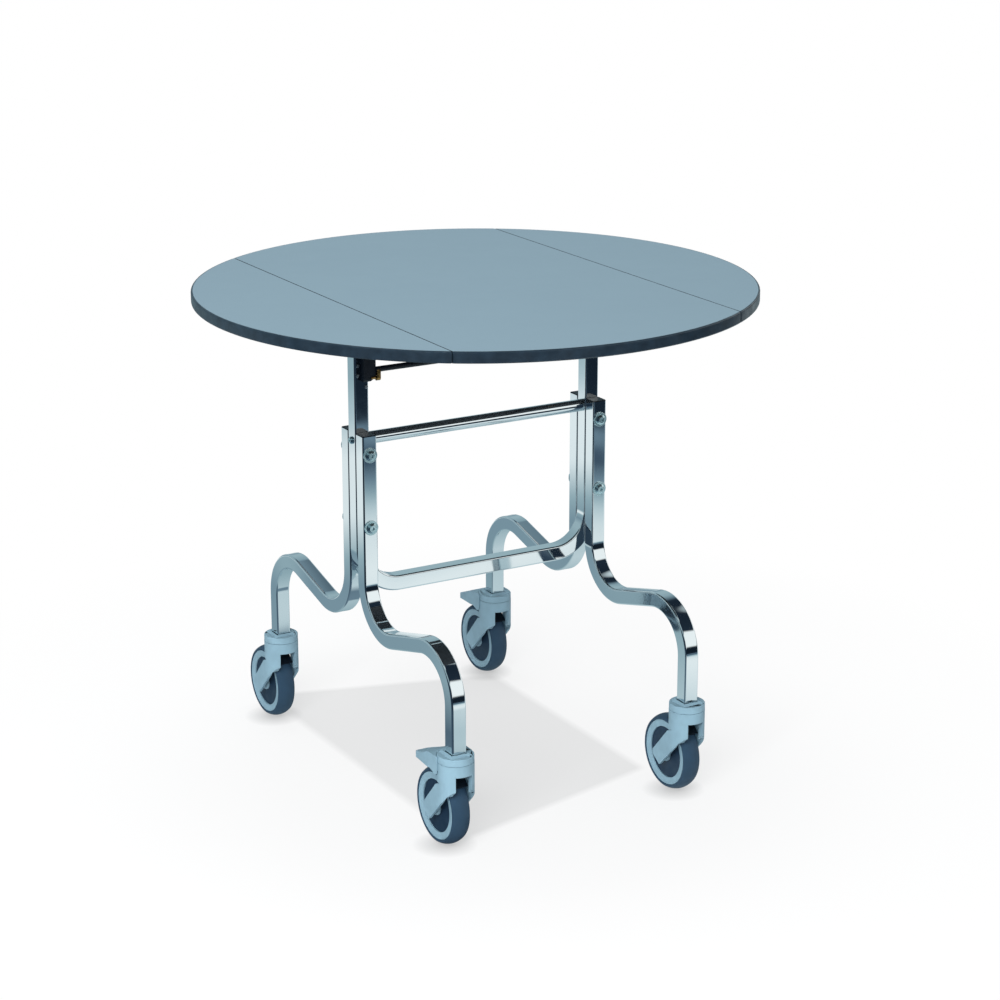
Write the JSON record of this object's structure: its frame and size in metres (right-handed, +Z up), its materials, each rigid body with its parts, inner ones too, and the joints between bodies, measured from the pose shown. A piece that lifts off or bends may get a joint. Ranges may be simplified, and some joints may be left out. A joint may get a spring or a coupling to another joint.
{
  "type": "room service table",
  "caption": "Round-topped room service table with two drop leaves on a tilting bracket, over a U-shaped square-tube frame with S-shaped legs and braked swivel casters.",
  "frame": {"origin": "centre of the table on the floor, under the middle of the round top", "axes": "+X to the right along the frame's rail, +Y to the rear, +Z up"},
  "size_m": [0.8998, 0.9, 0.81],
  "materials": {
    "laminate": "satin blue-grey laminate",
    "edge_band": "dark blue-grey edge band, satin",
    "chrome": "polished chrome plate",
    "black_plastic": "satin black",
    "black_metal": "black powder coat",
    "steel": "zinc-plated",
    "brass": "dull brass",
    "caster_plastic": "blue-grey nylon, satin",
    "tyre": "dark blue-grey rubber",
    "wheel_disc": "dark plastic, satin",
    "button": "grey plastic",
    "brake_rubber": "black rubber"
  },
  "bodies": {
    "frame": {"u_frame": "chrome", "cross_bar": "chrome", "bar_screws": "chrome", "leg_caps": "black_plastic", "leg_bolts": "chrome", "bolt_washers": "chrome", "bolt_nuts": "chrome", "post_buffers": "black_plastic", "pivot_housings": "black_plastic", "housing_screws": "steel", "caster_collars": "caster_plastic", "caster_stems": "steel", "leg_front_left": "chrome", "leg_front_right": "chrome", "leg_rear_left": "chrome", "leg_rear_right": "chrome"},
    "top": {"centre_panel": "laminate", "centre_edges": "edge_band", "tilt_carriers": "black_metal", "tilt_pins": "steel", "hinge_plates": "steel", "lock_blocks": "black_plastic", "hinge_pins": "steel"},
    "leaf_left_body": {"leaf_left": "laminate", "leaf_edge_left": "edge_band", "hinge_arms_left": "steel"},
    "leaf_right_body": {"leaf_right": "laminate", "leaf_edge_right": "edge_band", "hinge_arms_right": "steel"},
    "release_bail": {"release_rod": "black_metal", "release_cranks": "brass"},
    "button_front_left": {"hinge_button_front_left": "button"},
    "button_front_right": {"hinge_button_front_right": "button"},
    "button_rear_left": {"hinge_button_rear_left": "button"},
    "button_rear_right": {"hinge_button_rear_right": "button"},
    "swivel_front_left": {"fork_front_left": "caster_plastic", "axle_front_left": "steel"},
    "wheel_front_left": {"rim_front_left": "caster_plastic", "tyre_front_left": "tyre", "wheel_discs_front_left": "wheel_disc"},
    "swivel_front_right": {"fork_front_right": "caster_plastic", "axle_front_right": "steel"},
    "wheel_front_right": {"rim_front_right": "caster_plastic", "tyre_front_right": "tyre", "wheel_discs_front_right": "wheel_disc"},
    "swivel_rear_left": {"fork_rear_left": "caster_plastic", "axle_rear_left": "steel"},
    "wheel_rear_left": {"rim_rear_left": "caster_plastic", "tyre_rear_left": "tyre", "wheel_discs_rear_left": "wheel_disc"},
    "swivel_rear_right": {"fork_rear_right": "caster_plastic", "axle_rear_right": "steel"},
    "wheel_rear_right": {"rim_rear_right": "caster_plastic", "tyre_rear_right": "tyre", "wheel_discs_rear_right": "wheel_disc"},
    "pedal_front_left": {"brake_pedal_front_left": "caster_plastic", "brake_shoe_front_left": "brake_rubber"},
    "pedal_rear_right": {"brake_pedal_rear_right": "caster_plastic", "brake_shoe_rear_right": "brake_rubber"}
  },
  "joints": [
    {"name": "top_tilt", "type": "hinge", "parent": "frame", "child": "top", "pos_m": [0, -0.027, 0.755], "axis": [1, 0, 0], "range_deg": [0, 90]},
    {"name": "leaf_left_fold", "type": "hinge", "parent": "top", "child": "leaf_left_body", "pos_m": [-0.25, 0, 0.786], "axis": [0, -1, 0], "range_deg": [0, 90]},
    {"name": "leaf_right_fold", "type": "hinge", "parent": "top", "child": "leaf_right_body", "pos_m": [0.25, 0, 0.786], "axis": [0, 1, 0], "range_deg": [0, 90]},
    {"name": "release_pull", "type": "hinge", "parent": "frame", "child": "release_bail", "pos_m": [0, -0.025, 0.687], "axis": [1, 0, 0], "range_deg": [0, 30], "stiffness_Nm_per_rad": 0.5, "springref_deg": -8.59},
    {"name": "hinge_button_press_front_left", "type": "slide", "parent": "top", "child": "button_front_left", "axis": [-1, 0, 0], "range_m": [0, 0.004], "stiffness_N_per_m": 250},
    {"name": "hinge_button_press_front_right", "type": "slide", "parent": "top", "child": "button_front_right", "axis": [1, 0, 0], "range_m": [0, 0.004], "stiffness_N_per_m": 250},
    {"name": "hinge_button_press_rear_left", "type": "slide", "parent": "top", "child": "button_rear_left", "axis": [-1, 0, 0], "range_m": [0, 0.004], "stiffness_N_per_m": 250},
    {"name": "hinge_button_press_rear_right", "type": "slide", "parent": "top", "child": "button_rear_right", "axis": [1, 0, 0], "range_m": [0, 0.004], "stiffness_N_per_m": 250},
    {"name": "caster_swivel_front_left", "type": "hinge", "parent": "frame", "child": "swivel_front_left", "pos_m": [-0.2125, -0.308, 0.15], "axis": [0, 0, 1], "continuous": true},
    {"name": "wheel_roll_front_left", "type": "hinge", "parent": "swivel_front_left", "child": "wheel_front_left", "pos_m": [-0.2125, -0.268, 0.0625], "axis": [1, 0, 0], "continuous": true},
    {"name": "caster_swivel_front_right", "type": "hinge", "parent": "frame", "child": "swivel_front_right", "pos_m": [0.2125, -0.308, 0.15], "axis": [0, 0, 1], "continuous": true},
    {"name": "wheel_roll_front_right", "type": "hinge", "parent": "swivel_front_right", "child": "wheel_front_right", "pos_m": [0.2125, -0.268, 0.0625], "axis": [1, 0, 0], "continuous": true},
    {"name": "caster_swivel_rear_left", "type": "hinge", "parent": "frame", "child": "swivel_rear_left", "pos_m": [-0.2125, 0.308, 0.15], "axis": [0, 0, 1], "continuous": true},
    {"name": "wheel_roll_rear_left", "type": "hinge", "parent": "swivel_rear_left", "child": "wheel_rear_left", "pos_m": [-0.2125, 0.348, 0.0625], "axis": [1, 0, 0], "continuous": true},
    {"name": "caster_swivel_rear_right", "type": "hinge", "parent": "frame", "child": "swivel_rear_right", "pos_m": [0.2125, 0.308, 0.15], "axis": [0, 0, 1], "continuous": true},
    {"name": "wheel_roll_rear_right", "type": "hinge", "parent": "swivel_rear_right", "child": "wheel_rear_right", "pos_m": [0.2125, 0.348, 0.0625], "axis": [1, 0, 0], "continuous": true},
    {"name": "brake_press_front_left", "type": "hinge", "parent": "swivel_front_left", "child": "pedal_front_left", "pos_m": [-0.2125, -0.296, 0.137], "axis": [-1, 0, 0], "range_deg": [0, 8]},
    {"name": "brake_press_rear_right", "type": "hinge", "parent": "swivel_rear_right", "child": "pedal_rear_right", "pos_m": [0.2125, 0.32, 0.137], "axis": [-1, 0, 0], "range_deg": [0, 8]}
  ]
}
